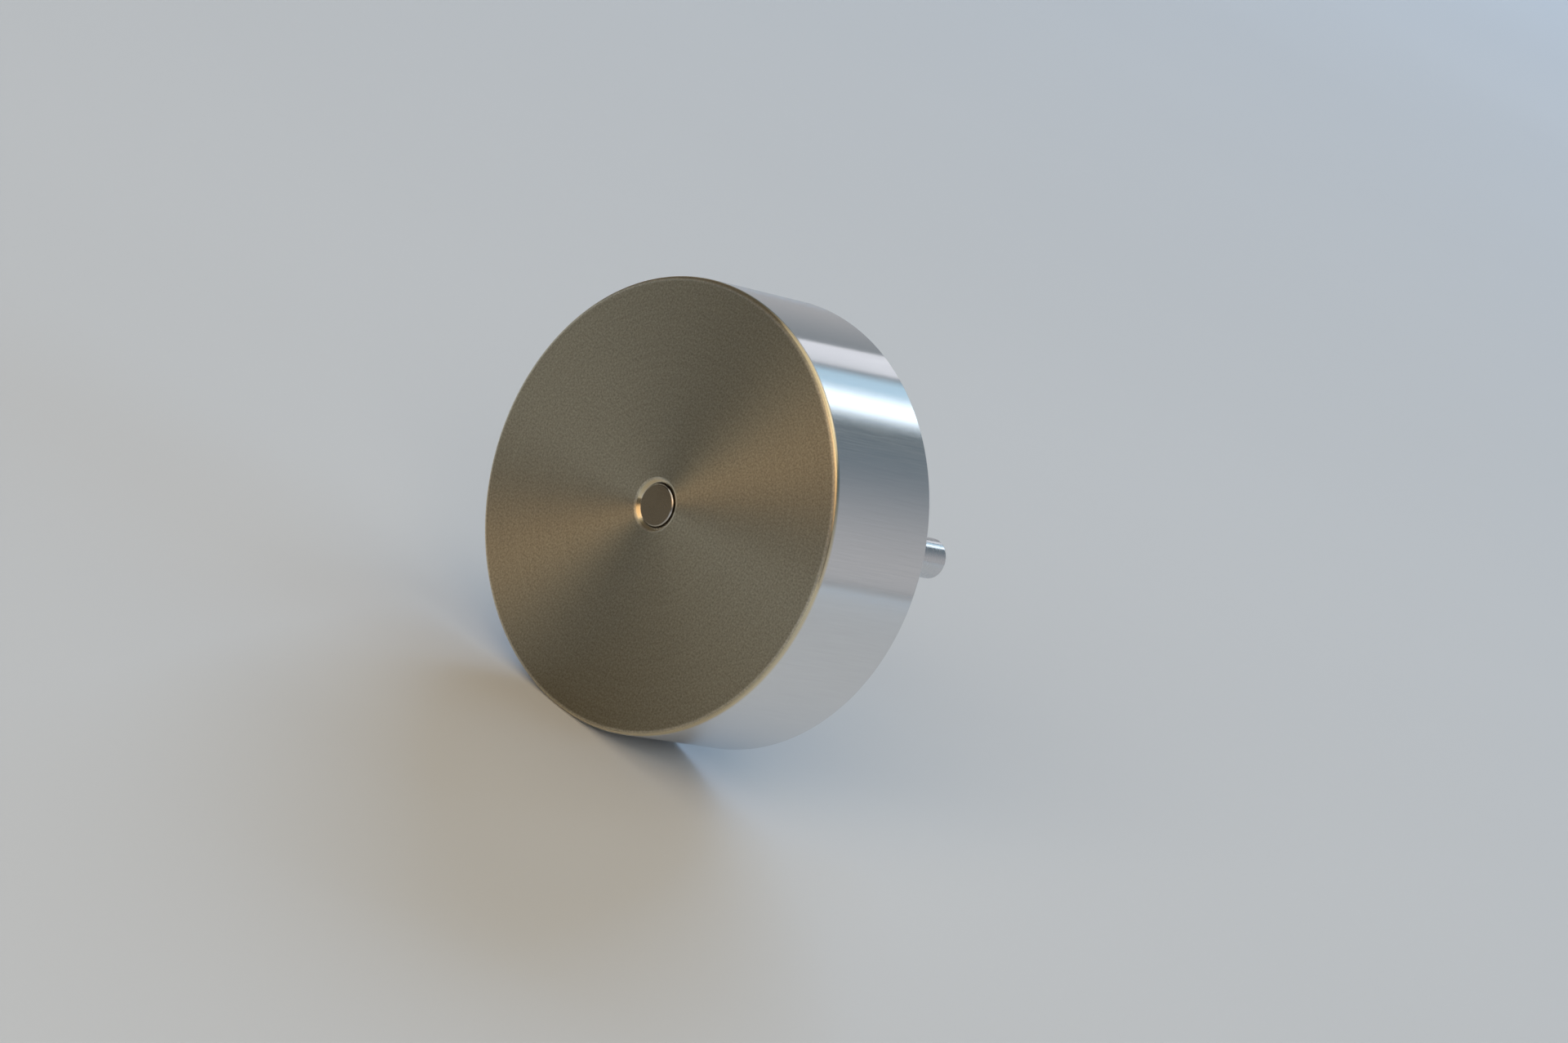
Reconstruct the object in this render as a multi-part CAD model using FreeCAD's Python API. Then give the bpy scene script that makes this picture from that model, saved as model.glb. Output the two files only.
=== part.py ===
import FreeCAD, Part
import math
import os

# Flat brushless motor with an outer rotor: a turned cup spins round a wound stator.
# Millimetres. The shaft axis is Y and the output end points along +Y, with +Z up.
# The origin is the centre of the mounting face, which bolts against a bracket.
# A radius is measured from the shaft axis, and names that end in _y are places along it.

# Rotor cup
cup_length = 14.0
cup_wall = 1.4
cup_base = 1.5
cup_corner = 0.55
cup_inner_chamfer = 0.4
cup_rim_chamfer = 0.3
hub_countersink_radius = 2.6
hub_countersink_depth = 0.45
hub_seat_gap = 0.5

# Shaft
shaft_radius = 2.0
shaft_reach = 20.7
shaft_recess = 0.15
shaft_chamfer = 0.3
shaft_rear_chamfer = 0.12

# Magnets bonded inside the cup
magnet_count = 16
magnet_thickness = 1.6
magnet_gap = 0.4
magnet_bond = 0.05
magnet_rim_setback = 1.3
magnet_floor_gap = 1.2

# Mounting flange and its bearing tube
flange_board_margin = 2.0
flange_thickness = 2.4
boss_step = 2.5
boss_height = 3.0
pilot_step = 1.0
pilot_height = 1.6
turned_chamfer = 0.3
mouth_chamfer = 0.2
tube_wall = 2.0
tube_step_width = 0.8
tube_overhang = 0.2
collar_step = 1.0
screw_count = 4
screw_edge_margin = 2.5
screw_hole_radius = 1.25
screw_hole_depth = 4.2
screw_mouth_radius = 1.5
drill_point_angle = 118.0

# Ball bearings, 4 x 10 x 4
bearing_ring_thickness = 1.0
bearing_ring_gap = 1.0
bearing_width = 4.0
bearing_chamfer = 0.15
bearing_recess = 0.5
ball_count = 7
ball_radius = 0.75
ball_play = 0.03
cage_land_gap = 0.1
cage_closed_reach = 1.1
cage_open_reach = 0.35
shield_thickness = 0.2
shield_depth = 0.15
shield_seat = 0.2
shield_gap = 0.1

# What locates the bearings along the shaft
spring_height = 0.8
spring_thickness = 0.2
spring_waves = 3
spring_edge_gap = 0.05
spacer_thickness = 0.6
clip_thickness = 0.6
clip_land_margin = 0.1
clip_opening = 2.6
clip_groove_depth = 0.25
clip_play = 0.05

# Stator core
tooth_count = 12
core_end_setback = 1.5
air_gap = 0.4
yoke_thickness = 2.5
tooth_length = 6.5
tooth_width = 3.0
slot_opening = 1.6
shoe_tip_thickness = 0.8
shoe_root_thickness = 1.95

# End insulators and coils
insulator_thickness = 0.5
insulator_side = 0.15
insulator_bore_gap = 0.05
hub_lip_thickness = 0.5
hub_lip_height = 0.8
tip_lip_thickness = 0.7
tip_lip_height = 1.2
tip_lip_half_width = 3.1
coil_head = 1.5
coil_gap = 0.12
coil_end_gap = 0.1
coil_hub_gap = 0.4
coil_round = 1.3
peg_count = 3
peg_radius = 0.6
peg_hole_gap = 0.05

# Hall board and what is soldered to it
rim_clearance = 0.4
board_thickness = 1.2
board_edge_inset = 0.5
board_bore_gap = 0.2
tab_side_margin = 0.3
tab_root_fillet = 1.5
tab_corner_fillet = 1.0
sensor_count = 3
sensor_first_angle = 60.0
sensor_width = 3.0
sensor_depth = 2.0
sensor_height = 1.1
sensor_bevel = 0.2
sensor_wall_gap = 0.6
lead_radius = 0.3
chip_count = 4
chip_spacing = 3.4
chip_length = 1.6
chip_width = 0.8
chip_height = 0.7
chip_gap = 0.4

# Connector on the tab
pin_count = 8
pin_pitch = 2.0
pin_side = 0.5
pin_foot = 0.5
pin_foot_gap = 0.05
pin_tip_setback = 1.3
housing_set_out = 0.8
housing_depth = 7.0
housing_height = 4.8
housing_wall = 0.6
housing_end_margin = 1.7
housing_rear_wall = 1.4
housing_overhang = 0.3
key_slot_width = 1.2
key_slot_length = 3.0
key_slot_offset = 4.0

# Places along the shaft axis, in order from the free end to the closed face
pilot_face_y = pilot_height
board_front_y = -(boss_height + flange_thickness)
board_rear_y = board_front_y - board_thickness
cup_rim_y = board_rear_y - rim_clearance
cup_face_y = cup_rim_y - cup_length
cup_floor_y = cup_face_y + cup_base
magnet_front_y = cup_rim_y - magnet_rim_setback
magnet_rear_y = cup_floor_y + magnet_floor_gap
core_front_y = magnet_front_y - core_end_setback
core_rear_y = magnet_rear_y + core_end_setback
core_mid_y = (core_front_y + core_rear_y) / 2
core_length = core_front_y - core_rear_y
tube_end_y = core_rear_y - tube_overhang
front_bearing_y = pilot_face_y - bearing_recess - bearing_width / 2
rear_bearing_y = tube_end_y + bearing_recess + bearing_width / 2
front_seat_y = front_bearing_y - bearing_width / 2
spring_rear_y = rear_bearing_y + bearing_width / 2
rear_seat_y = spring_rear_y + spring_height
hub_end_y = rear_bearing_y - bearing_width / 2 - spacer_thickness
clip_rear_y = front_bearing_y + bearing_width / 2

# Radii of the bearings, from the shaft outwards, and of the pieces beside them
bearing_inner_land = shaft_radius + bearing_ring_thickness
bearing_outer_land = bearing_inner_land + bearing_ring_gap
bearing_radius = bearing_outer_land + bearing_ring_thickness
pitch_radius = (bearing_inner_land + bearing_outer_land) / 2
hub_radius = bearing_radius - hub_seat_gap
clip_radius = bearing_inner_land - clip_land_margin
clip_groove_radius = shaft_radius - clip_groove_depth

# Radii from the bearing tube out to the cup, which comes to 42.8 across
tube_radius = bearing_radius + tube_wall
tube_middle_radius = bearing_radius - tube_step_width
collar_radius = tube_radius + collar_step
yoke_radius = tube_radius + yoke_thickness
coil_inner_radius = yoke_radius + coil_hub_gap
shoe_root_radius = yoke_radius + tooth_length
coil_outer_radius = shoe_root_radius - coil_end_gap
coil_hole_half_width = tooth_width / 2 + insulator_side
peg_circle_radius = shoe_root_radius + tip_lip_thickness / 2
core_radius = shoe_root_radius + shoe_root_thickness
magnet_inner_radius = core_radius + air_gap
magnet_outer_radius = magnet_inner_radius + magnet_thickness
cup_inner_radius = magnet_outer_radius + magnet_bond
cup_radius = cup_inner_radius + cup_wall

# Radii of the board and the flange, and places of the connector on the board's tab
board_radius = cup_inner_radius - board_edge_inset
flange_radius = board_radius - flange_board_margin
boss_radius = flange_radius - boss_step
screw_circle_radius = boss_radius - screw_edge_margin
pilot_radius = tube_radius + pilot_step
housing_rear_x = -(board_radius + housing_set_out)
housing_front_x = housing_rear_x - housing_depth
housing_half_width = (pin_count - 1) / 2 * pin_pitch + housing_end_margin
tab_reach = -housing_front_x - housing_overhang
tab_half_width = housing_half_width + tab_side_margin

ORIGIN = FreeCAD.Vector(0, 0, 0)
SHAFT_AXIS = FreeCAD.Vector(0, 1, 0)


def along_shaft(y):
    """Point on the shaft axis."""
    return FreeCAD.Vector(0, y, 0)


def turned(outline):
    """Solid turned about the shaft axis from a closed outline of (radius, y) corners."""
    corners = [FreeCAD.Vector(radius, y, 0) for radius, y in outline]
    face = Part.Face(Part.makePolygon(corners + corners[:1]))
    return face.revolve(ORIGIN, SHAFT_AXIS, 360)


def disc(radius, low_y, high_y):
    """Solid cylinder on the shaft axis."""
    return Part.makeCylinder(radius, high_y - low_y, along_shaft(low_y), SHAFT_AXIS)


def ring(inner_radius, outer_radius, low_y, high_y):
    """Plain ring on the shaft axis."""
    return disc(outer_radius, low_y, high_y).cut(disc(inner_radius, low_y, high_y))


def block(low_x, high_x, low_y, high_y, low_z, high_z):
    """Rectangular block between two corners."""
    corner = FreeCAD.Vector(low_x, low_y, low_z)
    return Part.makeBox(high_x - low_x, high_y - low_y, high_z - low_z, corner)


def prism(corners, travel):
    """Flat outline through the corners, pushed along the travel vector."""
    face = Part.Face(Part.makePolygon(corners + corners[:1]))
    return face.extrude(travel)


def slab(outline, low_y, high_y):
    """Plate across the shaft axis from an outline of (x, z) corners."""
    corners = [FreeCAD.Vector(x, low_y, z) for x, z in outline]
    return prism(corners, FreeCAD.Vector(0, high_y - low_y, 0))


def turned_copy(shape, angle):
    """Copy of a shape, swung round the shaft axis."""
    copy = shape.copy()
    copy.rotate(ORIGIN, SHAFT_AXIS, angle)
    return copy


def copies_round(shape, count, first_angle=0.0):
    """Evenly spaced copies of a shape round the shaft axis."""
    return [turned_copy(shape, first_angle + 360.0 * i / count) for i in range(count)]


def circle_edges(shape, radius, y):
    """Edges of a shape that are circles about the shaft axis of that radius, at that y."""
    return [edge for edge in shape.Edges
            if isinstance(edge.Curve, Part.Circle)
            and abs(edge.Curve.Radius - radius) < 1e-6
            and abs(edge.Curve.Center.y - y) < 1e-6]


def polar(radius, angle):
    """(x, z) place at a radius, and at an angle from the x axis in degrees."""
    return radius * math.cos(math.radians(angle)), radius * math.sin(math.radians(angle))


def rotor_cup():
    """Cup turned from solid bar, with a bored hub inside its closed end."""
    cup = turned([
        (shaft_radius, hub_end_y),
        (hub_radius, hub_end_y),
        (hub_radius, cup_floor_y + cup_inner_chamfer),
        (hub_radius + cup_inner_chamfer, cup_floor_y),
        (cup_inner_radius - cup_inner_chamfer, cup_floor_y),
        (cup_inner_radius, cup_floor_y + cup_inner_chamfer),
        (cup_inner_radius, cup_rim_y),
        (cup_radius - cup_rim_chamfer, cup_rim_y),
        (cup_radius, cup_rim_y - cup_rim_chamfer),
        (cup_radius, cup_face_y),
        (hub_countersink_radius, cup_face_y),
        (shaft_radius, cup_face_y + hub_countersink_depth),
    ])
    return cup.makeFillet(cup_corner, circle_edges(cup, cup_radius, cup_face_y))


def shaft():
    """Ground shaft with a groove for the retaining ring and both ends chamfered."""
    rear_y = cup_face_y + shaft_recess
    groove_front_y = clip_rear_y + clip_thickness + clip_play
    return turned([
        (0, rear_y),
        (shaft_radius - shaft_rear_chamfer, rear_y),
        (shaft_radius, rear_y + shaft_rear_chamfer),
        (shaft_radius, clip_rear_y),
        (clip_groove_radius, clip_rear_y),
        (clip_groove_radius, groove_front_y),
        (shaft_radius, groove_front_y),
        (shaft_radius, shaft_reach - shaft_chamfer),
        (shaft_radius - shaft_chamfer, shaft_reach),
        (0, shaft_reach),
    ])


def rotor_magnets():
    """Arc magnets: a ring parted by a narrow gap at each pole change."""
    magnets = ring(magnet_inner_radius, magnet_outer_radius, magnet_rear_y, magnet_front_y)
    spoke = block(0, cup_radius, magnet_rear_y, magnet_front_y, -magnet_gap / 2, magnet_gap / 2)
    return magnets.cut(Part.makeCompound(copies_round(spoke, magnet_count)))


def hub_spacer():
    """Washer between the cup's hub and the rear bearing's inner ring."""
    return ring(shaft_radius, bearing_inner_land, hub_end_y, hub_end_y + spacer_thickness)


def retaining_ring():
    """Open ring in the shaft's groove, which holds the front bearing's inner ring."""
    front_y = clip_rear_y + clip_thickness
    clip = ring(clip_groove_radius + clip_play, clip_radius, clip_rear_y, front_y)
    opening = block(-clip_opening / 2, clip_opening / 2, clip_rear_y, front_y, 0, clip_radius)
    return clip.cut(opening)


def ball_race(y):
    """Torus that both rings' grooves are ground to, a little larger than the balls."""
    return Part.makeTorus(pitch_radius, ball_radius + ball_play, along_shaft(y), SHAFT_AXIS)


def bearing_outer_ring(y):
    """Outer ring with its groove and a step at each end for the shield."""
    half = bearing_width / 2
    step = half - shield_depth - shield_thickness
    seat_radius = bearing_outer_land + shield_seat
    blank = turned([
        (seat_radius, y - half),
        (bearing_radius - bearing_chamfer, y - half),
        (bearing_radius, y - half + bearing_chamfer),
        (bearing_radius, y + half - bearing_chamfer),
        (bearing_radius - bearing_chamfer, y + half),
        (seat_radius, y + half),
        (seat_radius, y + step),
        (bearing_outer_land, y + step),
        (bearing_outer_land, y - step),
        (seat_radius, y - step),
    ])
    return blank.cut(ball_race(y))


def bearing_inner_ring(y):
    """Inner ring with its groove, pressed on the shaft."""
    half = bearing_width / 2
    blank = turned([
        (shaft_radius + bearing_chamfer, y - half),
        (bearing_inner_land, y - half),
        (bearing_inner_land, y + half),
        (shaft_radius + bearing_chamfer, y + half),
        (shaft_radius, y + half - bearing_chamfer),
        (shaft_radius, y - half + bearing_chamfer),
    ])
    return blank.cut(ball_race(y))


def bearing_shields(y):
    """Two sheet shields, one pressed in each end of the outer ring."""
    inner_radius = bearing_inner_land + shield_gap
    outer_radius = bearing_outer_land + shield_seat
    outside = bearing_width / 2 - shield_depth
    inside = outside - shield_thickness
    front = ring(inner_radius, outer_radius, y + inside, y + outside)
    rear = ring(inner_radius, outer_radius, y - outside, y - inside)
    return Part.makeCompound([front, rear])


def bearing_balls(y):
    """Full set of balls on the pitch circle."""
    ball = Part.makeSphere(ball_radius, FreeCAD.Vector(pitch_radius, y, 0))
    return Part.makeCompound(copies_round(ball, ball_count))


def bearing_cage(y):
    """Crown cage: a ring with a round pocket for each ball, open at its rear."""
    crown = ring(bearing_inner_land + cage_land_gap, bearing_outer_land - cage_land_gap,
                 y - cage_open_reach, y + cage_closed_reach)
    outwards = FreeCAD.Vector(1, 0, 0)
    pocket = Part.makeCylinder(ball_radius + ball_play, bearing_radius, along_shaft(y), outwards)
    return crown.cut(Part.makeCompound(copies_round(pocket, ball_count)))


def preload_wave_spring():
    """Wavy washer that pushes the rear bearing's outer ring away from the tube's step."""
    swing = (spring_height - spring_thickness) / 2
    rest_y = spring_rear_y + swing

    def wavy_edge(radius):
        points = []
        steps = 8 * spring_waves
        for step in range(steps):
            angle = 2 * math.pi * step / steps
            y = rest_y + swing * math.cos(spring_waves * angle)
            points.append(FreeCAD.Vector(radius * math.cos(angle), y, radius * math.sin(angle)))
        curve = Part.BSplineCurve()
        curve.interpolate(Points=points, PeriodicFlag=True)
        return curve.toShape()

    inner_edge = wavy_edge(tube_middle_radius + spring_edge_gap)
    outer_edge = wavy_edge(bearing_radius - spring_edge_gap)
    washer = Part.makeRuledSurface(inner_edge, outer_edge)
    return washer.extrude(FreeCAD.Vector(0, spring_thickness, 0))


def tapped_hole():
    """Blind tapping hole in the mounting face, with a drill point and a chamfered mouth."""
    place = FreeCAD.Vector(screw_circle_radius, 0, 0)
    inwards = FreeCAD.Vector(0, -1, 0)
    drill = Part.makeCylinder(screw_hole_radius, screw_hole_depth, place, inwards)
    point_depth = screw_hole_radius / math.tan(math.radians(drill_point_angle / 2))
    point_place = place + inwards * screw_hole_depth
    point = Part.makeCone(screw_hole_radius, 0, point_depth, point_place, inwards)
    mouth_depth = screw_mouth_radius - screw_hole_radius
    mouth = Part.makeCone(screw_mouth_radius, screw_hole_radius, mouth_depth, place, inwards)
    return drill.multiFuse([point, mouth])


def mounting_flange():
    """Turned flange with a pilot, a tube for both bearings and four tapped holes."""
    flange = turned([
        (bearing_radius + mouth_chamfer, pilot_face_y),
        (pilot_radius - turned_chamfer, pilot_face_y),
        (pilot_radius, pilot_face_y - turned_chamfer),
        (pilot_radius, 0),
        (boss_radius - turned_chamfer, 0),
        (boss_radius, -turned_chamfer),
        (boss_radius, -boss_height),
        (flange_radius - turned_chamfer, -boss_height),
        (flange_radius, -boss_height - turned_chamfer),
        (flange_radius, board_front_y),
        (collar_radius, board_front_y),
        (collar_radius, core_front_y),
        (tube_radius, core_front_y),
        (tube_radius, tube_end_y),
        (bearing_radius + mouth_chamfer, tube_end_y),
        (bearing_radius, tube_end_y + mouth_chamfer),
        (bearing_radius, rear_seat_y),
        (tube_middle_radius, rear_seat_y),
        (tube_middle_radius, front_seat_y),
        (bearing_radius, front_seat_y),
        (bearing_radius, pilot_face_y - mouth_chamfer),
    ])
    holes = copies_round(tapped_hole(), screw_count, 180.0 / screw_count)
    return flange.cut(Part.makeCompound(holes))


def stator_core():
    """Stack of laminations: a yoke ring and teeth that spread into pole shoes."""
    half_width = tooth_width / 2
    half_opening = math.degrees(math.asin(slot_opening / 2 / core_radius))
    tip_angle = 180.0 / tooth_count - half_opening
    shoe_radius = core_radius - shoe_tip_thickness
    tooth = slab([
        (yoke_radius - half_width, -half_width),
        (shoe_root_radius, -half_width),
        polar(shoe_radius, -tip_angle),
        polar(cup_radius, -tip_angle),
        polar(cup_radius, tip_angle),
        polar(shoe_radius, tip_angle),
        (shoe_root_radius, half_width),
        (yoke_radius - half_width, half_width),
    ], core_rear_y, core_front_y)
    tooth = tooth.common(disc(core_radius, core_rear_y, core_front_y))
    yoke = ring(tube_radius, yoke_radius, core_rear_y, core_front_y)
    return yoke.multiFuse(copies_round(tooth, tooth_count)).removeSplitter()


def end_insulator(core_end_y, outwards, bore_radius):
    """Moulded spider over one end of the core, with lips that hold the coils in."""
    def layer(height):
        return sorted([core_end_y, core_end_y + outwards * height])

    plate_y = layer(insulator_thickness)
    hub_y = layer(insulator_thickness + hub_lip_height)
    tip_y = layer(insulator_thickness + tip_lip_height)
    lip_outer_radius = shoe_root_radius + tip_lip_thickness
    plate = ring(bore_radius, yoke_radius, *plate_y)
    hub_lip = ring(yoke_radius - hub_lip_thickness, yoke_radius, *hub_y)
    arm = block(yoke_radius - hub_lip_thickness, lip_outer_radius, *plate_y,
                -coil_hole_half_width, coil_hole_half_width)
    tip_lip = block(shoe_root_radius, lip_outer_radius, *tip_y,
                    -tip_lip_half_width, tip_lip_half_width)
    arms = copies_round(arm.fuse(tip_lip), tooth_count)
    return plate.multiFuse([hub_lip] + arms).removeSplitter()


def board_pegs(radius, low_y, high_y):
    """Round pegs, or the holes for them, on three of the teeth."""
    place = FreeCAD.Vector(peg_circle_radius, low_y, 0)
    peg = Part.makeCylinder(radius, high_y - low_y, place, SHAFT_AXIS)
    return copies_round(peg, peg_count)


def front_end_insulator():
    """Insulator towards the flange, with pegs that carry and centre the board."""
    spider = end_insulator(core_front_y, 1, collar_radius + insulator_bore_gap)
    pegs = board_pegs(peg_radius, core_front_y, board_front_y)
    return spider.multiFuse(pegs).removeSplitter()


def rear_end_insulator():
    """Insulator towards the cup's floor."""
    return end_insulator(core_rear_y, -1, tube_radius + insulator_bore_gap)


def coil():
    """One coil round the insulated tooth on the x axis, as wide as half a slot allows."""
    hole_half_length = core_length / 2 + insulator_thickness
    half_length = hole_half_length + coil_head
    low_y = core_mid_y - half_length
    high_y = core_mid_y + half_length

    def half_width(radius):
        slot_half_angle = math.radians(180.0 / tooth_count)
        return radius * math.tan(slot_half_angle) - coil_gap / math.cos(slot_half_angle)

    winding = slab([
        (coil_inner_radius, -half_width(coil_inner_radius)),
        (coil_outer_radius, -half_width(coil_outer_radius)),
        (coil_outer_radius, half_width(coil_outer_radius)),
        (coil_inner_radius, half_width(coil_inner_radius)),
    ], low_y, high_y)
    radial_length = coil_outer_radius - coil_inner_radius
    long_edges = [edge for edge in winding.Edges
                  if abs(edge.BoundBox.XLength - radial_length) < 1e-6]
    winding = winding.makeFillet(coil_round, long_edges)
    hole = block(coil_inner_radius, coil_outer_radius,
                 core_mid_y - hole_half_length, core_mid_y + hole_half_length,
                 -coil_hole_half_width, coil_hole_half_width)
    return winding.cut(hole)


def phase_coils(phase):
    """Every third coil belongs to one phase."""
    first_angle = 360.0 * phase / tooth_count
    return Part.makeCompound(copies_round(coil(), tooth_count // 3, first_angle))


def phase_leads():
    """Tinned wire ends of the three phases, from a coil head each to the board."""
    coil_head_y = core_mid_y + core_length / 2 + insulator_thickness + coil_head
    lead_circle_radius = (coil_inner_radius + coil_outer_radius) / 2
    place = FreeCAD.Vector(lead_circle_radius, coil_head_y, 0)
    lead = Part.makeCylinder(lead_radius, board_rear_y - coil_head_y, place, SHAFT_AXIS)
    angles = [360.0 * phase / tooth_count for phase in range(3)]
    return Part.makeCompound([turned_copy(lead, angle) for angle in angles])


def upright_edges(board, x):
    """Edges through the board's thickness at that distance to the side."""
    return [edge for edge in board.Edges
            if abs(edge.BoundBox.YLength - board_thickness) < 1e-6
            and abs(edge.BoundBox.Center.x - x) < 1e-6]


def hall_board():
    """Round circuit board with a tab to the side for the connector."""
    round_part = disc(board_radius, board_rear_y, board_front_y)
    tab = block(-tab_reach, 0, board_rear_y, board_front_y, -tab_half_width, tab_half_width)
    board = round_part.fuse(tab).removeSplitter()
    tab_root_x = -math.sqrt(board_radius ** 2 - tab_half_width ** 2)
    board = board.makeFillet(tab_root_fillet, upright_edges(board, tab_root_x))
    board = board.makeFillet(tab_corner_fillet, upright_edges(board, -tab_reach))
    holes = board_pegs(peg_radius + peg_hole_gap, board_rear_y, board_front_y)
    holes.append(disc(collar_radius + board_bore_gap, board_rear_y, board_front_y))
    return board.cut(Part.makeCompound(holes))


def hall_sensors():
    """Hall sensors on the board's inner face, just in front of the magnets' ends."""
    outer_x = cup_inner_radius - sensor_wall_gap
    low_y = board_rear_y - sensor_height
    body = block(outer_x - sensor_depth, outer_x, low_y, board_rear_y,
                 -sensor_width / 2, sensor_width / 2)
    rim = [edge for edge in body.Edges
           if edge.BoundBox.YLength < 1e-6 and abs(edge.BoundBox.Center.y - low_y) < 1e-6]
    body = body.makeChamfer(sensor_bevel, rim)
    return Part.makeCompound(copies_round(body, sensor_count, sensor_first_angle))


def board_capacitors():
    """Row of chip capacitors between the flange and the connector."""
    high_x = -(flange_radius + chip_gap)
    low_x = high_x - chip_width
    chips = []
    for i in range(chip_count):
        middle_z = (i - (chip_count - 1) / 2) * chip_spacing
        chips.append(block(low_x, high_x, board_front_y, board_front_y + chip_height,
                           middle_z - chip_length / 2, middle_z + chip_length / 2))
    return Part.makeCompound(chips)


def pin_places():
    """Middles of the pins across the connector."""
    return [(i - (pin_count - 1) / 2) * pin_pitch for i in range(pin_count)]


def connector_housing():
    """Moulded side-entry header, open away from the motor, with two keying slots."""
    top_y = board_front_y + housing_height
    middle_y = board_front_y + housing_height / 2
    cavity_end_x = housing_rear_x - housing_rear_wall
    housing = block(housing_front_x, housing_rear_x, board_front_y, top_y,
                    -housing_half_width, housing_half_width)
    cuts = [block(housing_front_x, cavity_end_x,
                  board_front_y + housing_wall, top_y - housing_wall,
                  housing_wall - housing_half_width, housing_half_width - housing_wall)]
    for side in (-1, 1):
        slot_z = side * key_slot_offset
        cuts.append(block(housing_front_x, housing_front_x + key_slot_length,
                          top_y - housing_wall, top_y,
                          slot_z - key_slot_width / 2, slot_z + key_slot_width / 2))
    for z in pin_places():
        cuts.append(block(cavity_end_x, housing_rear_x,
                          middle_y - pin_side / 2, middle_y + pin_side / 2,
                          z - pin_side / 2, z + pin_side / 2))
    return housing.cut(Part.makeCompound(cuts))


def connector_pins():
    """Square pins, bent down behind the housing to feet on the board."""
    middle_y = board_front_y + housing_height / 2
    tip_x = housing_front_x + pin_tip_setback
    leg_x = housing_rear_x + pin_foot_gap
    bend_x = leg_x + pin_side
    foot_x = bend_x + pin_foot
    outline = [
        (tip_x, middle_y + pin_side / 2),
        (bend_x, middle_y + pin_side / 2),
        (bend_x, board_front_y + pin_side),
        (foot_x, board_front_y + pin_side),
        (foot_x, board_front_y),
        (leg_x, board_front_y),
        (leg_x, middle_y - pin_side / 2),
        (tip_x, middle_y - pin_side / 2),
    ]
    pins = []
    for z in pin_places():
        corners = [FreeCAD.Vector(x, y, z - pin_side / 2) for x, y in outline]
        pins.append(prism(corners, FreeCAD.Vector(0, 0, pin_side)))
    return Part.makeCompound(pins)


pieces = {
    "rotor_cup": rotor_cup(),
    "rotor_magnets": rotor_magnets(),
    "shaft": shaft(),
    "hub_spacer": hub_spacer(),
    "retaining_ring": retaining_ring(),
    "preload_wave_spring": preload_wave_spring(),
    "mounting_flange": mounting_flange(),
    "stator_core": stator_core(),
    "front_end_insulator": front_end_insulator(),
    "rear_end_insulator": rear_end_insulator(),
    "phase_u_coils": phase_coils(0),
    "phase_v_coils": phase_coils(1),
    "phase_w_coils": phase_coils(2),
    "phase_leads": phase_leads(),
    "hall_board": hall_board(),
    "hall_sensors": hall_sensors(),
    "board_capacitors": board_capacitors(),
    "connector_housing": connector_housing(),
    "connector_pins": connector_pins(),
}
for end, bearing_y in (("front", front_bearing_y), ("rear", rear_bearing_y)):
    pieces[end + "_bearing_outer_ring"] = bearing_outer_ring(bearing_y)
    pieces[end + "_bearing_inner_ring"] = bearing_inner_ring(bearing_y)
    pieces[end + "_bearing_balls"] = bearing_balls(bearing_y)
    pieces[end + "_bearing_cage"] = bearing_cage(bearing_y)
    pieces[end + "_bearing_shields"] = bearing_shields(bearing_y)

os.makedirs("parts", exist_ok=True)
for node, shape in pieces.items():
    shape.exportStep("parts/" + node + ".step")
    print(node, len(shape.Solids), "solids", round(shape.Volume, 3), "mm3, valid:", shape.isValid())
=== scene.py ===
import bpy
import math
from mathutils import Matrix, Vector


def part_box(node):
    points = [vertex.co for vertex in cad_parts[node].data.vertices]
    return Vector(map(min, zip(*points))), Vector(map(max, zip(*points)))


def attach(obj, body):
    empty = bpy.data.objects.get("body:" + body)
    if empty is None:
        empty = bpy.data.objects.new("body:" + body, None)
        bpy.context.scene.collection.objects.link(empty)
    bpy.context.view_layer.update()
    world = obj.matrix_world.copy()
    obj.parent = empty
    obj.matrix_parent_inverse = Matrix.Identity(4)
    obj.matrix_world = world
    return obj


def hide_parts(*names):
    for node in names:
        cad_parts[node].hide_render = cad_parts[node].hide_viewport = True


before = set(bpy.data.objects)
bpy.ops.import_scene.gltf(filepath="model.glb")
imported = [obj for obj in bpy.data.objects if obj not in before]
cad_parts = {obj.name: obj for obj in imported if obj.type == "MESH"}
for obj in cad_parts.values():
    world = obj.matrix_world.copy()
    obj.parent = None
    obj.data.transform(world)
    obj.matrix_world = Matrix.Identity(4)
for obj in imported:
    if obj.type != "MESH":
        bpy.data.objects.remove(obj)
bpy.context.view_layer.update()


# Camera at the photograph's angle: from the closed face's side, a little above,
# and leaning, so that the motor's axis runs down to the right.
camera_azimuth = math.radians(38.28)
camera_elevation = math.radians(12.81)
camera_roll = math.radians(26.84)
camera_distance = 0.5274
camera_target = Vector((0.0081, -0.0130, 0.0038))
camera_turn = (Matrix.Rotation(camera_azimuth, 3, "Z")
               @ Matrix.Rotation(math.pi / 2 - camera_elevation, 3, "X")
               @ Matrix.Rotation(camera_roll, 3, "Z"))
camera_place = camera_target + camera_turn @ Vector((0, 0, camera_distance))
bpy.ops.object.camera_add(location=camera_place, rotation=camera_turn.to_euler())
camera = bpy.context.object
camera.name = "camera"
camera.data.lens = 131.25
camera.data.clip_start = 0.01
camera.data.clip_end = 100
bpy.context.scene.camera = camera


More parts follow.
